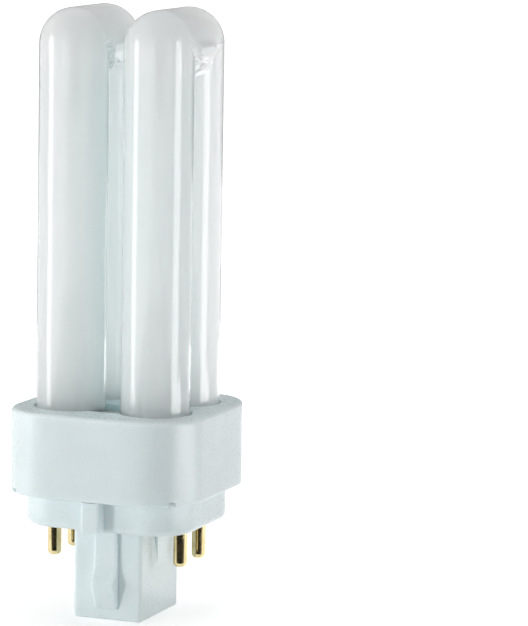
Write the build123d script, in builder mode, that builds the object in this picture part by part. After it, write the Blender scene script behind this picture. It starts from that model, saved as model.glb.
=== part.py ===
# Four-pin plug-in fluorescent lamp: two U-shaped glass tubes cemented in a moulded collar,
# which a moulded cap with a keyed post and four contact pins closes from below.
# Millimetres. Z runs along the lamp with the tubes up, and z = 0 is the face that seats on a holder.
# X runs across the post from pin pair to pin pair, and each U lies front to back along Y.
import os
from math import sqrt

from build123d import *

os.makedirs("parts", exist_ok=True)

# Glass tubes
tube_diameter = 11.6
tube_gap_in_u = 1.1  # free space between the two legs of one U
tube_gap_across = 3.7  # free space between the two U tubes
tube_top = 86.3  # crown of the tubes over the seating face
tube_end_round = 2.5  # rounding of the closed leg ends
bridge_radius = 3.4  # short tube that joins the two front legs
bridge_cover = 0.4  # how far the bridge lies under the collar's top
pinch_length = 4.0  # flattened glass seal under each back leg
pinch_width = 6.6
pinch_thickness = 2.4
pinch_round = 0.8

# Contact pins
pin_spacing_x = 23.0
pin_spacing_y = 8.0
pin_diameter = 2.35
pin_length = 6.4  # what stands out under the seating face
pin_tip_round = 0.8
pin_shank_radius = 1.4  # thicker part, in the cap's floor
pin_flange_radius = 1.75  # head that rests on the floor
pin_flange_height = 0.8
pin_bore_radius = 0.5
pin_bore_depth = 2.0  # takes the end of a lead wire
pin_fit = 0.05  # gap round a shank in the floor

# Lead wires
wire_radius = 0.25
wire_level = 1.1  # run of the wires over the pin heads
wire_drop = 1.6  # from a pinch seal down to that run
wire_bend = 0.9
wire_spacing = 3.2  # two wires of one pinch seal

# Keyed post
post_width = 12.4
post_depth = 16.2
post_length = 15.8
post_corner = 0.7
post_draft = 0.3  # degrees on each side
post_end_wall = 1.6
post_end_round = 0.4

# Latch ribs on the front and back of the post
rib_width = 4.1
rib_height = 1.0
latch_height = 2.4  # crest of the latch over the post's face
latch_start = 6.9  # depths under the seating face
latch_crest = 9.0
latch_end = 14.6
latch_round = 0.5
rib_edge_round = 0.4
rib_sink = 0.5  # depth of the rib's root in the post

# Cap round the post
cap_height = 5.7
cap_wall = 1.3
cap_floor = 2.0
cap_corner = 6.8
cap_edge_round = 1.0
pin_margin = 0.3  # room from a pin's head to the wall
cap_reach = 4.9  # from the post's front and back faces out to the cap's wall
block_width = 3.1  # guide blocks in the middle of the front and back walls
block_proud = 2.7
block_bottom = 0.4  # over the seating face
block_gap = 0.3  # under the collar's rim
block_round = 0.4
block_sink = 0.5  # depth of a block's root in the wall
key_width = 2.3  # short key grooves on the post's sides
key_place = 2.1
key_depth = 0.9
key_length = 7.0

# Collar
collar_height = 14.1
collar_corner = 9.0
collar_wall = 1.6  # round the cap's spigot
collar_ledge = 1.0  # step that the spigot seats against
collar_plate = 2.0
collar_top_round = 0.7
collar_rim_round = 0.35
overhang_x = 2.05  # collar beyond the cap's wall
overhang_y = 3.9
leg_room = 0.65  # from the outer legs to the collar's inside
hole_gap = 0.42  # dark ring round each tube
bridge_slot = 8.0
spigot_height = 4.0
spigot_fit = 0.1
snap_width = 1.4  # notches in the rim, on the corners
snap_height = 0.8
cut_past = 0.8  # how far a notch's cut runs past the wall

# Cement bed
bond_gap = 0.05
cement_drop = 2.0  # under the collar's plate

pick_within = 0.01  # tolerance for picking edges by place

# Places that follow from these sizes
tube_radius = tube_diameter / 2
leg_x = (tube_diameter + tube_gap_across) / 2
leg_y = (tube_diameter + tube_gap_in_u) / 2
crown_z = tube_top - tube_radius

cap_width = pin_spacing_x + 2 * (pin_flange_radius + pin_margin + cap_wall)
cap_depth = post_depth + 2 * cap_reach
collar_inset = collar_wall + collar_ledge
collar_width = max(cap_width + 2 * overhang_x, 2 * (leg_x + tube_radius + leg_room + collar_inset))
collar_depth = cap_depth + 2 * overhang_y
collar_top = cap_height + collar_height
plate_underside = collar_top - collar_plate
spigot_top = cap_height + spigot_height
spigot_floor = cap_height + cap_wall
bridge_z = collar_top - bridge_cover - bridge_radius

wire_z = cap_floor + pin_flange_height + wire_level
pinch_bottom = wire_z + wire_drop
leg_end = max(pinch_bottom + pinch_length, spigot_floor + cap_wall)
leg_end_flat = tube_radius - tube_end_round
leg_shoulder = leg_end + tube_end_round
cement_top = plate_underside - cement_drop

# Glass vessel: four turned legs with round shoulders, two crowns, the bridge and two pinch seals
with BuildPart() as glass_tubes:
    for side in (-1, 1):
        for end in (-1, 1):
            leg_plane = Plane(origin=(side * leg_x, end * leg_y, 0), x_dir=(1, 0, 0), z_dir=(0, -1, 0))
            with BuildSketch(leg_plane):
                with BuildLine():
                    Line((0, leg_end), (leg_end_flat, leg_end))
                    CenterArc((leg_end_flat, leg_shoulder), tube_end_round, 270, 90)
                    Line((tube_radius, leg_shoulder), (tube_radius, crown_z))
                    CenterArc((0, crown_z), tube_radius, 0, 90)
                    Line((0, tube_top), (0, leg_end))
                make_face()
            revolve(axis=Axis((side * leg_x, end * leg_y, 0), (0, 0, 1)))
        crown_plane = Plane(origin=(side * leg_x, 0, crown_z), x_dir=(1, 0, 0), z_dir=(0, -1, 0))
        with BuildSketch(crown_plane):
            Circle(tube_radius)
        extrude(amount=leg_y, both=True)
    bridge_plane = Plane(origin=(0, -leg_y, bridge_z), x_dir=(0, 1, 0), z_dir=(1, 0, 0))
    with BuildSketch(bridge_plane):
        Circle(bridge_radius)
    extrude(amount=leg_x, both=True)
    with BuildSketch(Plane.XY.offset(pinch_bottom)):
        with Locations((-leg_x, leg_y), (leg_x, leg_y)):
            RectangleRounded(pinch_thickness, pinch_width, pinch_round)
    extrude(amount=leg_shoulder - pinch_bottom)
glass_tubes.part.label = "glass_tubes"
export_step(glass_tubes.part, "parts/glass_tubes.step")

# Collar: a rounded-square cup, open below, with four tube holes and a slot over the bridge
with BuildPart() as tube_collar:
    with BuildSketch(Plane.XY.offset(cap_height)):
        RectangleRounded(collar_width, collar_depth, collar_corner)
    extrude(amount=collar_height)
    fillet(tube_collar.faces().sort_by(Axis.Z)[-1].edges(), radius=collar_top_round)
    fillet(tube_collar.faces().sort_by(Axis.Z)[0].edges(), radius=collar_rim_round)
    with BuildSketch(Plane.XY.offset(cap_height)):
        RectangleRounded(
            collar_width - 2 * collar_wall, collar_depth - 2 * collar_wall, collar_corner - collar_wall
        )
    extrude(amount=spigot_height, mode=Mode.SUBTRACT)
    with BuildSketch(Plane.XY.offset(spigot_top)):
        RectangleRounded(
            collar_width - 2 * collar_inset, collar_depth - 2 * collar_inset, collar_corner - collar_inset
        )
    extrude(amount=plate_underside - spigot_top, mode=Mode.SUBTRACT)
    with BuildSketch(Plane.XY.offset(plate_underside)):
        with GridLocations(2 * leg_x, 2 * leg_y, 2, 2):
            Circle(tube_radius + hole_gap)
        with Locations((0, -leg_y)):
            Rectangle(2 * leg_x, bridge_slot)
    extrude(amount=collar_plate, mode=Mode.SUBTRACT)
    corner_reach = collar_corner * (1 - 1 / sqrt(2))
    for side in (-1, 1):
        for end in (-1, 1):
            corner = (side * (collar_width / 2 - corner_reach), end * (collar_depth / 2 - corner_reach), 0)
            with BuildSketch(Plane.XY.offset(cap_height)):
                with Locations(Location(corner, (0, 0, side * end * 45))):
                    Rectangle(2 * (collar_wall + cut_past), snap_width)
            extrude(amount=snap_height, mode=Mode.SUBTRACT)
tube_collar.part.label = "tube_collar"
export_step(tube_collar.part, "parts/tube_collar.step")

# Latch rib of the front face: a low rib from the cap's floor, a short steep ramp up to the crest
# and a long ramp that runs out into the post
with BuildPart() as latch_rib:
    post_face = -post_depth / 2
    rib_root = post_face + rib_sink
    rib_top = cap_floor / 2
    with BuildSketch(Plane.YZ) as rib_profile:
        with BuildLine():
            Polyline(
                (rib_root, rib_top),
                (post_face - rib_height, rib_top),
                (post_face - rib_height, -latch_start),
                (post_face - latch_height, -latch_crest),
                (rib_root, -latch_end - rib_sink * (latch_end - latch_crest) / latch_height),
                close=True,
            )
        make_face()
        fillet(rib_profile.vertices().sort_by(Axis.Y)[0], radius=latch_round)
    extrude(amount=rib_width / 2, both=True)
    fillet(latch_rib.faces().filter_by(Axis.X).edges(), radius=rib_edge_round)

# Cap: floor and skirt with a guide block at front and back, spigot, keyed post, latch ribs, hollow inside
with BuildPart() as cap_base:
    with BuildSketch():
        RectangleRounded(cap_width, cap_depth, cap_corner)
    extrude(amount=cap_height)
    fillet(cap_base.faces().sort_by(Axis.Z)[0].edges(), radius=cap_edge_round)
    spigot_inset = collar_wall + spigot_fit
    with BuildSketch(Plane.XY.offset(cap_height)):
        RectangleRounded(
            collar_width - 2 * spigot_inset, collar_depth - 2 * spigot_inset, collar_corner - spigot_inset
        )
    extrude(amount=spigot_height)

    # guide blocks, in the middle of the front and back walls
    with BuildSketch(Plane.XY.offset(block_bottom)):
        with GridLocations(0, cap_depth + block_proud - block_sink, 1, 2):
            Rectangle(block_width, block_proud + block_sink)
    extrude(amount=cap_height - block_gap - block_bottom)
    block_edges = cap_base.edges().filter_by(Axis.Z).filter_by(
        lambda edge: abs(abs(edge.center().Y) - cap_depth / 2 - block_proud) < pick_within
    )
    fillet(block_edges, radius=block_round)

    # post, drafted towards its end
    with BuildSketch():
        RectangleRounded(post_width, post_depth, post_corner)
    extrude(amount=-post_length, taper=post_draft)
    fillet(cap_base.faces().sort_by(Axis.Z)[0].edges(), radius=post_end_round)

    # latch ribs on the front and back faces
    add(latch_rib.part)
    mirror(latch_rib.part, about=Plane.XZ)

    # hollow over the floor, and down inside the post
    with BuildSketch(Plane.XY.offset(cap_floor)):
        RectangleRounded(cap_width - 2 * cap_wall, cap_depth - 2 * cap_wall, cap_corner - cap_wall)
    extrude(amount=spigot_floor - cap_floor, mode=Mode.SUBTRACT)
    with BuildSketch(Plane.XY.offset(spigot_floor)):
        hollow_inset = spigot_inset + cap_wall
        RectangleRounded(
            collar_width - 2 * hollow_inset, collar_depth - 2 * hollow_inset, collar_corner - hollow_inset
        )
    extrude(amount=spigot_top - spigot_floor, mode=Mode.SUBTRACT)
    with BuildSketch(Plane.XY.offset(post_end_wall - post_length)):
        Rectangle(post_width - 2 * cap_wall, post_depth - 2 * cap_wall)
    extrude(amount=post_length - post_end_wall + cap_floor, mode=Mode.SUBTRACT)

    # key grooves, one on each side of the post, running out downwards
    for side in (-1, 1):
        key_plane = Plane(origin=(0, -side * key_place, 0), x_dir=(1, 0, 0), z_dir=(0, -1, 0))
        with BuildSketch(key_plane):
            with BuildLine():
                Polyline(
                    (side * (post_width / 2 - key_depth), 0),
                    (side * (post_width / 2 + key_depth), 0),
                    (side * (post_width / 2 + key_depth), -key_length),
                    (side * post_width / 2, -key_length),
                    close=True,
                )
            make_face()
        extrude(amount=key_width / 2, both=True, mode=Mode.SUBTRACT)

    # pin holes through the floor
    with BuildSketch():
        with GridLocations(pin_spacing_x, pin_spacing_y, 2, 2):
            Circle(pin_shank_radius + pin_fit)
    extrude(amount=cap_floor, mode=Mode.SUBTRACT)
cap_base.part.label = "cap_base"
export_step(cap_base.part, "parts/cap_base.step")

# Cement bed round the four legs, with a trough for the bridge
with BuildPart() as tube_cement:
    cement_inset = collar_inset + bond_gap
    with BuildSketch(Plane.XY.offset(leg_shoulder)):
        RectangleRounded(
            collar_width - 2 * cement_inset, collar_depth - 2 * cement_inset, collar_corner - cement_inset
        )
        with GridLocations(2 * leg_x, 2 * leg_y, 2, 2):
            Circle(tube_radius + bond_gap, mode=Mode.SUBTRACT)
    extrude(amount=cement_top - leg_shoulder)
    with BuildSketch(Plane(origin=(0, -leg_y, bridge_z), x_dir=(0, 1, 0), z_dir=(1, 0, 0))):
        SlotCenterToCenter(2 * bridge_radius, 2 * (bridge_radius + bond_gap), rotation=90)
    extrude(amount=leg_x, both=True, mode=Mode.SUBTRACT)
tube_cement.part.label = "tube_cement"
export_step(tube_cement.part, "parts/tube_cement.step")

# Contact pins and the lead wire of each: front left, back left, front right, back right
pin_head = cap_floor + pin_flange_height
pin_bore_end = pin_head - pin_bore_depth
pin_radius = pin_diameter / 2
pin_tip_flat = pin_radius - pin_tip_round
for number, (side, end) in enumerate([(-1, -1), (-1, 1), (1, -1), (1, 1)], start=1):
    pin_x = side * pin_spacing_x / 2
    pin_y = end * pin_spacing_y / 2

    with BuildPart() as contact_pin:
        with BuildSketch(Plane(origin=(pin_x, pin_y, 0), x_dir=(1, 0, 0), z_dir=(0, -1, 0))):
            with BuildLine():
                Line((0, -pin_length), (pin_tip_flat, -pin_length))
                CenterArc((pin_tip_flat, pin_tip_round - pin_length), pin_tip_round, 270, 90)
                Polyline(
                    (pin_radius, pin_tip_round - pin_length),
                    (pin_radius, 0),
                    (pin_shank_radius, 0),
                    (pin_shank_radius, cap_floor),
                    (pin_flange_radius, cap_floor),
                    (pin_flange_radius, pin_head),
                    (pin_bore_radius, pin_head),
                    (pin_bore_radius, pin_bore_end),
                    (0, pin_bore_end),
                    (0, -pin_length),
                )
            make_face()
        revolve(axis=Axis((pin_x, pin_y, 0), (0, 0, 1)))
    contact_pin.part.label = f"contact_pin_{number}"
    export_step(contact_pin.part, f"parts/contact_pin_{number}.step")

    wire_start = (side * leg_x, leg_y + end * wire_spacing / 2, pinch_bottom)
    with BuildPart() as lead_wire:
        with BuildLine() as wire_path:
            FilletPolyline(
                wire_start,
                (wire_start[0], wire_start[1], wire_z),
                (pin_x, pin_y, wire_z),
                (pin_x, pin_y, pin_bore_end),
                radius=wire_bend,
            )
        with BuildSketch(Plane(origin=wire_start, x_dir=(1, 0, 0), z_dir=(0, 0, -1))):
            Circle(wire_radius)
        sweep(path=wire_path.line)
    lead_wire.part.label = f"lead_wire_{number}"
    export_step(lead_wire.part, f"parts/lead_wire_{number}.step")
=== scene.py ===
import bmesh
import bpy
import math
from mathutils import Matrix, Vector, noise


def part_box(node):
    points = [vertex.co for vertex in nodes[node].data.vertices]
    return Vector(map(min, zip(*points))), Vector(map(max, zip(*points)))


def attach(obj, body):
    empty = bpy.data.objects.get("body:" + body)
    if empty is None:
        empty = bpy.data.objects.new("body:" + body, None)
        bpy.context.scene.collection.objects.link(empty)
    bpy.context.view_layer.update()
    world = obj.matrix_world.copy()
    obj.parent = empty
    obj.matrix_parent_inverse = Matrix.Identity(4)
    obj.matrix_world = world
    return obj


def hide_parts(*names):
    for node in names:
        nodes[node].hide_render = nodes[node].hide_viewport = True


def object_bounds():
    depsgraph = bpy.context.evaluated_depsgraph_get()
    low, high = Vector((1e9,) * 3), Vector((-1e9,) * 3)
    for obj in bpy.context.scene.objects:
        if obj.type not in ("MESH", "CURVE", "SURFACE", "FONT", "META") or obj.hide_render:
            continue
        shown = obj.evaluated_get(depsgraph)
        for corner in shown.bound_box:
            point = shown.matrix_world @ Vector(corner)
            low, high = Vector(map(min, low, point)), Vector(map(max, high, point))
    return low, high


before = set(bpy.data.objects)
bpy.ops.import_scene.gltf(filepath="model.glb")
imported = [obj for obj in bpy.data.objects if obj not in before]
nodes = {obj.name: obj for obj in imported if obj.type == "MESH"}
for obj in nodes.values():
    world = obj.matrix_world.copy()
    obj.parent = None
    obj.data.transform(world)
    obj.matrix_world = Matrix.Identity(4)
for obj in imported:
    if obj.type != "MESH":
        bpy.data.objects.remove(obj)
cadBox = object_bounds()
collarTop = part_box("tube_collar")[1].z
glassLow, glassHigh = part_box("glass_tubes")
print("frame loaded,", len(nodes), "nodes")


# helpers for objects and materials

def addObject(name, data):
    thing = bpy.data.objects.new(name, data)
    bpy.context.scene.collection.objects.link(thing)
    return thing


def addMesh(name, bm, material):
    mesh = bpy.data.meshes.new(name)
    bm.to_mesh(mesh)
    bm.free()
    mesh.materials.append(material)
    return addObject(name, mesh)


def newMaterial(name):
    material = bpy.data.materials.new(name)
    material.use_nodes = True
    tree = material.node_tree
    shader = tree.nodes["Principled BSDF"]
    coords = tree.nodes.new("ShaderNodeTexCoord").outputs["Object"]
    return material, tree, shader, coords


def setSockets(shader, values):
    for name, value in values.items():
        shader.inputs[name].default_value = value


def addNoise(tree, coords, scale, detail, stretch=(1, 1, 1)):
    mapping = tree.nodes.new("ShaderNodeMapping")
    mapping.inputs["Scale"].default_value = stretch
    tree.links.new(coords, mapping.inputs["Vector"])
    cloud = tree.nodes.new("ShaderNodeTexNoise")
    cloud.inputs["Scale"].default_value = scale
    cloud.inputs["Detail"].default_value = detail
    tree.links.new(mapping.outputs["Vector"], cloud.inputs["Vector"])
    return cloud.outputs["Fac"]


def addRange(tree, value, given, wanted):
    ranged = tree.nodes.new("ShaderNodeMapRange")
    sockets = ("From Min", "From Max", "To Min", "To Max")
    for socket, number in zip(sockets, (*given, *wanted)):
        ranged.inputs[socket].default_value = number
    tree.links.new(value, ranged.inputs["Value"])
    return ranged.outputs["Result"]


def addTones(tree, value, places, colours):
    ramp = tree.nodes.new("ShaderNodeValToRGB")
    for element, place, colour in zip(ramp.color_ramp.elements, places, colours):
        element.position = place
        element.color = (*colour, 1)
    tree.links.new(value, ramp.inputs["Fac"])
    return ramp.outputs["Color"]


def addBump(tree, height, depth, under=None):
    bump = tree.nodes.new("ShaderNodeBump")
    bump.inputs["Strength"].default_value = 1
    bump.inputs["Distance"].default_value = depth
    tree.links.new(height, bump.inputs["Height"])
    if under is not None:
        tree.links.new(under, bump.inputs["Normal"])
    return bump.outputs["Normal"]


# coated glass: clear gloss over a white powder coating that varies a little in thickness

coatedGlass = {
    "thin": (0.825, 0.92, 0.925),
    "full": (0.87, 0.95, 0.955),
    "tonePlaces": (0.35, 0.62),
    "roughness": 0.045,
    "ior": 1.5,
    "glowDepth": 0.05,  # how far light spreads in the coating
    "cloudScale": 130,
    "cloudDetail": 3,
    "cloudStretch": (1, 1, 0.25),  # clouds run along the tubes
    "waveScale": 95,
    "waveDetail": 1,
    "waveDepth": 0.00003,
}


def makeCoatedGlass():
    s = coatedGlass
    material, tree, shader, coords = newMaterial("coatedGlass")
    clouds = addNoise(tree, coords, s["cloudScale"], s["cloudDetail"], s["cloudStretch"])
    tones = addTones(tree, clouds, s["tonePlaces"], (s["thin"], s["full"]))
    tree.links.new(tones, shader.inputs["Base Color"])
    setSockets(shader, {
        "Roughness": s["roughness"],
        "IOR": s["ior"],
        "Subsurface Weight": 1,
        "Subsurface Radius": (1, 1, 1),
        "Subsurface Scale": s["glowDepth"],
    })
    waves = addNoise(tree, coords, s["waveScale"], s["waveDetail"])
    tree.links.new(addBump(tree, waves, s["waveDepth"]), shader.inputs["Normal"])
    return material


# moulded plastic: satin, with a fine tool texture and a faint cloudiness

mouldedPlastic = {
    "shade": (0.77, 0.85, 0.865),
    "clean": (0.80, 0.885, 0.90),
    "tonePlaces": (0.35, 0.65),
    "roughness": (0.26, 0.34),
    "roughPlaces": (0.3, 0.7),
    "cloudScale": 160,
    "cloudDetail": 4,
    "grainScale": 2600,
    "grainDetail": 2,
    "grainDepth": 0.0000008,
    "flowScale": 220,
    "flowDetail": 1,
    "flowDepth": 0.00002,
    "glowDepth": 0.0006,
}


def makeMouldedPlastic():
    s = mouldedPlastic
    material, tree, shader, coords = newMaterial("mouldedPlastic")
    clouds = addNoise(tree, coords, s["cloudScale"], s["cloudDetail"])
    tones = addTones(tree, clouds, s["tonePlaces"], (s["shade"], s["clean"]))
    tree.links.new(tones, shader.inputs["Base Color"])
    grain = addNoise(tree, coords, s["grainScale"], s["grainDetail"])
    rough = addRange(tree, grain, s["roughPlaces"], s["roughness"])
    tree.links.new(rough, shader.inputs["Roughness"])
    setSockets(shader, {
        "Subsurface Weight": 1,
        "Subsurface Radius": (1, 1, 1),
        "Subsurface Scale": s["glowDepth"],
    })
    waves = addNoise(tree, coords, s["flowScale"], s["flowDetail"])
    flow = addBump(tree, waves, s["flowDepth"])
    tree.links.new(addBump(tree, grain, s["grainDepth"], flow), shader.inputs["Normal"])
    return material


# turned brass of the pins: fine rings left by the tool, a little tarnish

turnedBrass = {
    "bright": (0.80, 0.68, 0.38),
    "tarnished": (0.62, 0.49, 0.23),
    "tonePlaces": (0.45, 0.8),
    "roughness": (0.10, 0.18),
    "roughPlaces": (0.3, 0.7),
    "ringScale": 900,
    "ringDetail": 2,
    "ringStretch": (0.05, 0.05, 4),  # rings lie round the pin
    "ringDepth": 0.000002,
    "tarnishScale": 700,
    "tarnishDetail": 4,
}


def makeTurnedBrass():
    s = turnedBrass
    material, tree, shader, coords = newMaterial("turnedBrass")
    setSockets(shader, {"Metallic": 1})
    tarnish = addNoise(tree, coords, s["tarnishScale"], s["tarnishDetail"])
    tones = addTones(tree, tarnish, s["tonePlaces"], (s["bright"], s["tarnished"]))
    tree.links.new(tones, shader.inputs["Base Color"])
    rough = addRange(tree, tarnish, s["roughPlaces"], s["roughness"])
    tree.links.new(rough, shader.inputs["Roughness"])
    rings = addNoise(tree, coords, s["ringScale"], s["ringDetail"], s["ringStretch"])
    tree.links.new(addBump(tree, rings, s["ringDepth"]), shader.inputs["Normal"])
    return material


# pieces inside the collar and cap: grainy cement and drawn nickel wire

tubeCement = {
    "dark": (0.52, 0.51, 0.47),
    "pale": (0.72, 0.71, 0.67),
    "tonePlaces": (0.35, 0.65),
    "roughness": 0.92,
    "grainScale": 1400,
    "grainDetail": 6,
    "grainDepth": 0.00008,
}

leadWire = {
    "dark": (0.45, 0.44, 0.42),
    "pale": (0.66, 0.65, 0.62),
    "tonePlaces": (0.35, 0.65),
    "roughness": 0.35,
    "drawScale": 1500,
    "drawDetail": 3,
    "drawStretch": (1, 1, 0.1),  # draw marks run along the wire
}


def makeCement():
    s = tubeCement
    material, tree, shader, coords = newMaterial("tubeCement")
    setSockets(shader, {"Roughness": s["roughness"]})
    grain = addNoise(tree, coords, s["grainScale"], s["grainDetail"])
    tones = addTones(tree, grain, s["tonePlaces"], (s["dark"], s["pale"]))
    tree.links.new(tones, shader.inputs["Base Color"])
    tree.links.new(addBump(tree, grain, s["grainDepth"]), shader.inputs["Normal"])
    return material


def makeWire():
    s = leadWire
    material, tree, shader, coords = newMaterial("drawnNickel")
    setSockets(shader, {"Metallic": 1, "Roughness": s["roughness"]})
    drawn = addNoise(tree, coords, s["drawScale"], s["drawDetail"], s["drawStretch"])
    tones = addTones(tree, drawn, s["tonePlaces"], (s["dark"], s["pale"]))
    tree.links.new(tones, shader.inputs["Base Color"])
    return material


def dress(node, material):
    for slot in nodes[node].material_slots:
        slot.material = material


plastic = makeMouldedPlastic()
brass = makeTurnedBrass()
cement = makeCement()
nickel = makeWire()
dress("tube_collar", plastic)
dress("cap_base", plastic)
dress("tube_cement", cement)
for number in range(1, 5):
    dress(f"contact_pin_{number}", brass)
    dress(f"lead_wire_{number}", nickel)
print("CAD nodes dressed")


# glass tubes: half of one U is grown ring by ring from its foot, then mirrored to the whole vessel

glassTubes = {
    "diameter": 0.0116,
    "around": 128,
    "footRound": 0.0025,
    "footSteps": 6,
    "legRings": 26,
    "midRadius": 0.0009,  # of a bend at the tube's own side line
    "innerRadius": 0.0009,  # added at the inside of a bend
    "innerFrom": (-0.0015, 0.002),  # offsets over which that starts
    "innerEase": 0.65,  # share of it that is lost again from innerEnd inwards
    "innerEnd": 0.0042,
    "besideRings": 10,  # close rings on the leg beside a bend
    "besideStep": 0.00028,
    "bendSteps": 14,
    "crownRings": 16,
    "seamMerge": 1e-6,  # where the mirrored quarters join
    "doublesMerge": 1e-7,
    "bridgeRadius": 0.0034,
    "bridgeSides": 48,
    "bridgeCover": 0.0004,  # under the collar's top
    "pinch": (0.0024, 0.0066, 0.004),
    "pinchRound": 0.0008,
    "pinchSteps": 4,
}

# puckers of the drawn glass: deep is how far round to the inside of a bend a point is,
# beside is how far it is from the bend's mitre, below 0 towards the crown

pucker = {
    "fineReach": 0.0036,  # where the faces are split for it
    "fineDeep": (-0.0012, 0.0056),
    "deepFrom": (-0.0009, 0.0006),  # fades in and out round the bend
    "deepTo": (0.0040, 0.0052),
    "besideFrom": (-0.0027, -0.0008),  # fades in and out across the mitre
    "besideTo": (-0.0001, 0.0007),
    "depth": 0.0005,
    "pitch": 0.0009,
    "slope": 3,  # the ridges run up and away from the mitre
    "shakes": ((0.9, 260), (0.5, 700)),  # share and scale
    "strength": (0.7, 0.9),  # mean and swing
    "strengthScale": 330,
    "strengthShift": (3, 1, 7),
    "creaseDepth": 0.0003,
    "creaseWidth": 0.00025,
    "creaseFrom": (0.0002, 0.0018),
    "backShare": 0.4,  # the back bends are less puckered
}


def rise(value, low, high):
    share = min(1, max(0, (value - low) / (high - low)))
    return share * share * (3 - 2 * share)


def growRing(bm, ring, place):
    grown = bmesh.ops.extrude_edge_only(bm, edges=ring)["geom"]
    verts = {item for item in grown if isinstance(item, bmesh.types.BMVert)}
    for vert in verts:
        vert.co = place(vert)
    edges = [item for item in grown if isinstance(item, bmesh.types.BMEdge)]
    return [edge for edge in edges if verts.issuperset(edge.verts)]


def growHalfTube(bm, legX, legY, footZ, crownZ):
    s = glassTubes
    radius = s["diameter"] / 2
    axis = Vector((legX, legY, 0))
    inward = bm.verts.layers.float.new("inward")  # offset of a point to the inside of the U

    def bendRadius(offset):
        soft = rise(offset, *s["innerFrom"]) - s["innerEase"] * rise(offset, s["innerEnd"], radius)
        return math.hypot(offset / 2, s["midRadius"]) - offset / 2 + s["innerRadius"] * soft

    def footPoint(vert, reach, height):
        outward = (vert.co - axis).xy.normalized() * reach
        return axis + outward.to_3d() + Vector((0, 0, height))

    def legPoint(vert, height):
        return Vector((vert.co.x, vert.co.y, height))

    def besidePoint(vert, drop):
        start = crownZ - vert[inward] - bendRadius(vert[inward])
        return legPoint(vert, start - drop)

    def bendPoint(vert, turn):
        bend = bendRadius(vert[inward])
        start = vert[inward] + bend
        along = legY + start - bend * math.cos(turn)
        return Vector((vert.co.x, along, crownZ - start + bend * math.sin(turn)))

    def crownPoint(vert, share):
        start = legY + vert[inward] + bendRadius(vert[inward])
        return Vector((vert.co.x, start * (1 - share), crownZ - vert[inward]))

    flat = radius - s["footRound"]
    foot = Matrix.Translation((legX, legY, footZ))
    made = bmesh.ops.create_circle(
        bm, cap_ends=True, segments=s["around"], radius=flat, matrix=foot
    )
    ring = list({edge for vert in made["verts"] for edge in vert.link_edges})
    for step in range(1, s["footSteps"] + 1):
        turn = math.pi / 2 * step / s["footSteps"]
        reach = flat + s["footRound"] * math.sin(turn)
        height = footZ + s["footRound"] * (1 - math.cos(turn))
        ring = growRing(bm, ring, lambda vert: footPoint(vert, reach, height))
    for vert in {vert for edge in ring for vert in edge.verts}:
        vert[inward] = vert.co.y - legY

    shoulder = footZ + s["footRound"]
    legTop = crownZ - 2 * radius
    for step in range(1, s["legRings"] + 1):
        height = shoulder + (legTop - shoulder) * step / s["legRings"]
        ring = growRing(bm, ring, lambda vert: legPoint(vert, height))
    for step in range(s["besideRings"], 0, -1):
        drop = step * s["besideStep"]
        ring = growRing(bm, ring, lambda vert: besidePoint(vert, drop))
    for step in range(s["bendSteps"] + 1):
        turn = math.pi / 2 * step / s["bendSteps"]
        ring = growRing(bm, ring, lambda vert: bendPoint(vert, turn))
    for step in range(1, s["crownRings"] + 1):
        share = step / s["crownRings"]
        ring = growRing(bm, ring, lambda vert: crownPoint(vert, share))


def puckerBends(bm, legY, crownZ):
    s = pucker

    def nearFrontBend(point):
        inner, below = abs(legY) - abs(point.y), crownZ - point.z
        low, high = s["fineDeep"]
        close = abs(below - inner) < s["fineReach"] and low < min(inner, below) < high
        return close and point.y < 0

    fine = [edge for edge in bm.edges if all(nearFrontBend(vert.co) for vert in edge.verts)]
    bmesh.ops.subdivide_edges(bm, edges=fine, cuts=1, use_grid_fill=True)
    bm.normal_update()
    mean, swing = s["strength"]
    moves = []
    for vert in bm.verts:
        inner = abs(legY) - abs(vert.co.y)
        below = crownZ - vert.co.z
        deep = min(inner, below)
        beside = (below - inner) / math.sqrt(2)
        span = rise(deep, *s["deepFrom"]) * (1 - rise(deep, *s["deepTo"]))
        fade = span * rise(beside, *s["besideFrom"]) * (1 - rise(beside, *s["besideTo"]))
        if vert.co.y > 0:
            span, fade = span * s["backShare"], fade * s["backShare"]
        if span <= 0:
            continue
        shake = sum(share * noise.noise(vert.co * scale) for share, scale in s["shakes"])
        lean = (inner + s["slope"] * below) / math.sqrt(1 + s["slope"] ** 2)
        ripple = math.sin(2 * math.pi * (lean / s["pitch"] + shake))
        patch = noise.noise(vert.co * s["strengthScale"] + Vector(s["strengthShift"]))
        crease = math.exp(-((beside / s["creaseWidth"]) ** 2)) * rise(deep, *s["creaseFrom"])
        ridge = s["depth"] * fade * (mean + swing * patch) * ripple
        moves.append((vert, vert.normal * (ridge - s["creaseDepth"] * span * crease)))
    for vert, move in moves:
        vert.co += move


def addBridge(bm, legX, legY):
    s = glassTubes
    bridgeZ = collarTop - s["bridgeCover"] - s["bridgeRadius"]
    across = Matrix.Translation((0, legY, bridgeZ)) @ Matrix.Rotation(math.pi / 2, 4, "Y")
    bmesh.ops.create_cone(
        bm, cap_ends=True, segments=s["bridgeSides"], radius1=s["bridgeRadius"],
        radius2=s["bridgeRadius"], depth=-2 * legX - s["diameter"] / 2, matrix=across,
    )


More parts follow.
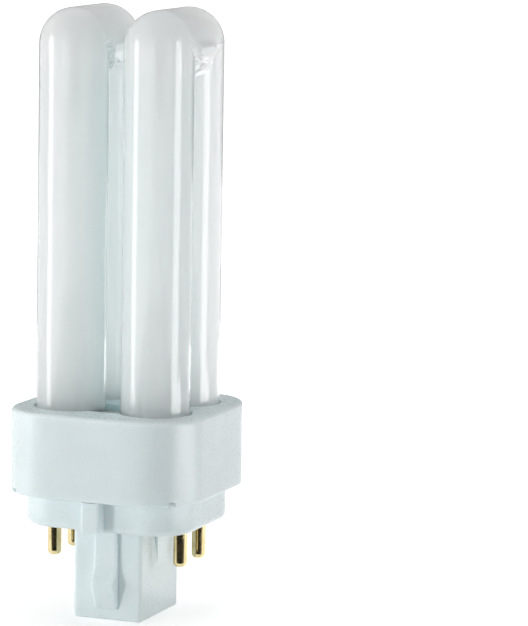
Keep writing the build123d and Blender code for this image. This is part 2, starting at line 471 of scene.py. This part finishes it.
def addPinch(bm, sealX, sealY):
    s = glassTubes
    width, depth, length = s["pinch"]
    tall = length + s["footRound"]  # the top stays inside the tube's round foot
    place = Matrix.Translation((sealX, sealY, glassLow.z + tall / 2))
    seal = bmesh.ops.create_cube(
        bm, size=1, matrix=place @ Matrix.Diagonal((width, depth, tall, 1))
    )
    upright = [
        edge for edge in {edge for vert in seal["verts"] for edge in vert.link_edges}
        if abs(edge.verts[0].co.z - edge.verts[1].co.z) > length / 2
    ]
    bmesh.ops.bevel(
        bm, geom=upright, offset=s["pinchRound"], offset_type="OFFSET",
        segments=s["pinchSteps"], profile=0.5, affect="EDGES", material=-1,
    )


def makeGlassTubes(material):
    s = glassTubes
    radius = s["diameter"] / 2
    legX = glassLow.x + radius
    legY = glassLow.y + radius
    crownZ = glassHigh.z - radius
    footZ = glassLow.z + s["pinch"][2]
    bm = bmesh.new()
    growHalfTube(bm, legX, legY, footZ, crownZ)
    for side in "YX":
        bmesh.ops.mirror(
            bm, geom=bm.verts[:] + bm.edges[:] + bm.faces[:], matrix=Matrix.Identity(4),
            merge_dist=s["seamMerge"], axis=side,
        )
    bmesh.ops.remove_doubles(bm, verts=bm.verts, dist=s["doublesMerge"])
    bmesh.ops.recalc_face_normals(bm, faces=bm.faces)
    puckerBends(bm, legY, crownZ)
    addBridge(bm, legX, legY)
    for sealX in (legX, -legX):
        addPinch(bm, sealX, -legY)
    for face in bm.faces:
        face.smooth = True
    piece = addMesh("glassTubes", bm, material)
    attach(piece, "root")
    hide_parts("glass_tubes")
    return piece


tubes = makeGlassTubes(makeCoatedGlass())
print("glass tubes grown,", len(tubes.data.polygons), "faces")


# camera, at the photograph's viewing angle

view = {
    "azimuth": 23.468,
    "distance": 0.6,
    "height": 0.12138,
    "pan": 2.154,
    "tilt": 8.156,
    "roll": 0.969,
    "focalPixels": 3618.6,
    "imageHeight": 626,
    "sensor": 36,  # along the image's height, its longer side
}


def turned(angle):
    turn = math.radians(view["azimuth"] + angle)
    return Vector((math.sin(turn), -math.cos(turn), 0))


def makeCamera():
    data = bpy.data.cameras.new("camera")
    data.sensor_width = view["sensor"]
    data.lens = view["focalPixels"] / view["imageHeight"] * view["sensor"]
    camera = addObject("camera", data)
    camera.location = turned(0) * view["distance"] + Vector((0, 0, view["height"]))
    heading = Matrix.Rotation(math.radians(view["azimuth"] - view["pan"]), 3, "Z")
    level = Matrix.Rotation(math.radians(90 - view["tilt"]), 3, "X")
    lean = Matrix.Rotation(math.radians(view["roll"]), 3, "Z")
    camera.rotation_euler = (heading @ level @ lean).to_euler()
    bpy.context.scene.camera = camera


makeCamera()
print("camera set")


# floor and lights: angles are from the camera's side, positive to its right

studio = {
    "floorColour": (0.9, 0.9, 0.9),
    "floorRoughness": 0.8,
    "floorSize": 6,
    "floorGlow": (0.4, 1.0),  # near the object and far from it
    "glowReach": (0.05, 0.5),
    "ambient": 0.17,
    "bounces": 12,  # light goes to and fro between the pale tubes
    "lights": [
        # name, angle, distance, width, low, high, power: lamps that reflections don't show
        ("leftStrip", -78, 0.22, 0.07, -0.015, 0.14, 0.11),
        ("leftKey", -57, 0.4, 0.06, 0.0, 0.08, 0.52),
        ("rightSoftbox", 64, 0.25, 0.1, -0.015, 0.1, 0.15),
        ("backFill", 157, 0.3, 0.2, -0.015, 0.14, 0.6),
        ("frontFill", -23, 0.5, 0.16, 0.0, 0.2, 0.13),
        ("topFill", 0, 0.0, 0.4, 0.6, 1.0, 1.6),
    ],
    "cards": [
        # name, angle, distance, width, low, high, tone: upright boards that only reflections show
        ("frontCard", 4, 0.9, 0.55, -0.01, 0.4, 0.03),
        ("leftStripCard", -78, 0.22, 0.07, -0.015, 0.14, 6.0),
        ("leftSoftCard", -55, 0.34, 0.42, -0.015, 0.16, 2.0),
        ("rightSoftCard", 63, 0.25, 0.1, -0.015, 0.15, 5.8),
        ("leftCard", -163, 0.3, 0.09, -0.01, 0.085, 0.02),
        ("rightCard", 163, 0.3, 0.09, -0.01, 0.085, 0.02),
        ("lowBackCard", 172, 0.5, 0.9, 0.0, 0.1, 0.05),
        ("highBackCard", 172, 0.5, 0.9, 0.1, 0.45, 0.55),
    ],
    "floorCards": [
        # name, angle, near, far, width, lift, tone: the same, lying just over the floor
        ("frontFloorCard", 0, 0.03, 0.4, 0.42, 0.0004, 0.02),
        ("rightFloorCard", 70, 0.1, 0.26, 0.14, 0.0006, 7.0),
        ("backFloorCard", 128, 0.012, 0.08, 0.045, 0.0008, 1.6),
    ],
}


def seenRays(tree):
    # 1 for camera, glossy and transmission rays
    rays = tree.nodes.new("ShaderNodeLightPath")
    total = rays.outputs["Is Camera Ray"]
    for name in ("Is Glossy Ray", "Is Transmission Ray"):
        add = tree.nodes.new("ShaderNodeMath")
        add.operation = "MAXIMUM"
        tree.links.new(total, add.inputs[0])
        tree.links.new(rays.outputs[name], add.inputs[1])
        total = add.outputs[0]
    return total


def makeFloor():
    material, tree, shader, coords = newMaterial("paleFloor")
    setSockets(shader, {
        "Base Color": (*studio["floorColour"], 1),
        "Roughness": studio["floorRoughness"],
        "Emission Color": (1, 1, 1, 1),
    })
    reach = tree.nodes.new("ShaderNodeVectorMath")
    reach.operation = "LENGTH"
    tree.links.new(coords, reach.inputs[0])
    level = addRange(tree, reach.outputs["Value"], studio["glowReach"], studio["floorGlow"])
    glow = tree.nodes.new("ShaderNodeMath")
    glow.operation = "MULTIPLY"
    tree.links.new(level, glow.inputs[0])
    tree.links.new(seenRays(tree), glow.inputs[1])
    tree.links.new(glow.outputs[0], shader.inputs["Emission Strength"])
    bm = bmesh.new()
    ground = Matrix.Translation((0, 0, cadBox[0].z))
    bmesh.ops.create_grid(
        bm, x_segments=4, y_segments=4, size=studio["floorSize"], matrix=ground
    )
    floor = addMesh("floor", bm, material)


def makeWorld():
    world = bpy.data.worlds.new("studio")
    world.use_nodes = True
    tree = world.node_tree
    strength = addRange(tree, seenRays(tree), (0, 1), (studio["ambient"], 1))
    background = tree.nodes["Background"]
    background.inputs["Color"].default_value = (1, 1, 1, 1)
    tree.links.new(strength, background.inputs["Strength"])
    bpy.context.scene.world = world


def makeLights():
    for name, angle, distance, width, low, high, power in studio["lights"]:
        data = bpy.data.lights.new(name, "AREA")
        data.shape = "RECTANGLE"
        data.size = width
        data.size_y = high - low
        data.energy = power
        lamp = addObject(name, data)
        lamp.location = turned(angle) * distance + Vector((0, 0, (low + high) / 2))
        facing = turned(angle) if distance else Vector((0, 0, 1))
        lamp.rotation_euler = facing.to_track_quat("Z", "Y").to_euler()
        lamp.visible_camera = False
        lamp.visible_glossy = False


def makeCard(name, tone, width, tall, place):
    material, _, shader, _ = newMaterial(name)
    setSockets(shader, {
        "Base Color": (0, 0, 0, 1),
        "Roughness": 1,
        "Specular IOR Level": 0,
        "Emission Color": (1, 1, 1, 1),
        "Emission Strength": tone,
    })
    bm = bmesh.new()
    size = Matrix.Diagonal((width, tall, 1, 1))
    bmesh.ops.create_grid(bm, x_segments=2, y_segments=2, size=0.5, matrix=place @ size)
    card = addMesh(name, bm, material)
    card.visible_camera = False
    card.visible_diffuse = False
    card.visible_shadow = False
    card.visible_transmission = False


def makeCards():
    upright = Matrix.Rotation(math.pi / 2, 4, "X")
    for name, angle, distance, width, low, high, tone in studio["cards"]:
        middle = turned(angle) * distance + Vector((0, 0, (low + high) / 2))
        heading = Matrix.Rotation(math.radians(view["azimuth"] + angle), 4, "Z")
        place = Matrix.Translation(middle) @ heading @ upright
        makeCard(name, tone, width, high - low, place)
    for name, angle, near, far, width, lift, tone in studio["floorCards"]:
        middle = turned(angle) * (near + far) / 2 + Vector((0, 0, cadBox[0].z + lift))
        heading = Matrix.Rotation(math.radians(view["azimuth"] + angle), 4, "Z")
        makeCard(name, tone, width, far - near, Matrix.Translation(middle) @ heading)


makeFloor()
makeWorld()
makeLights()
makeCards()
bpy.context.scene.view_settings.view_transform = "Standard"
bpy.context.scene.cycles.diffuse_bounces = studio["bounces"]
print("studio set")
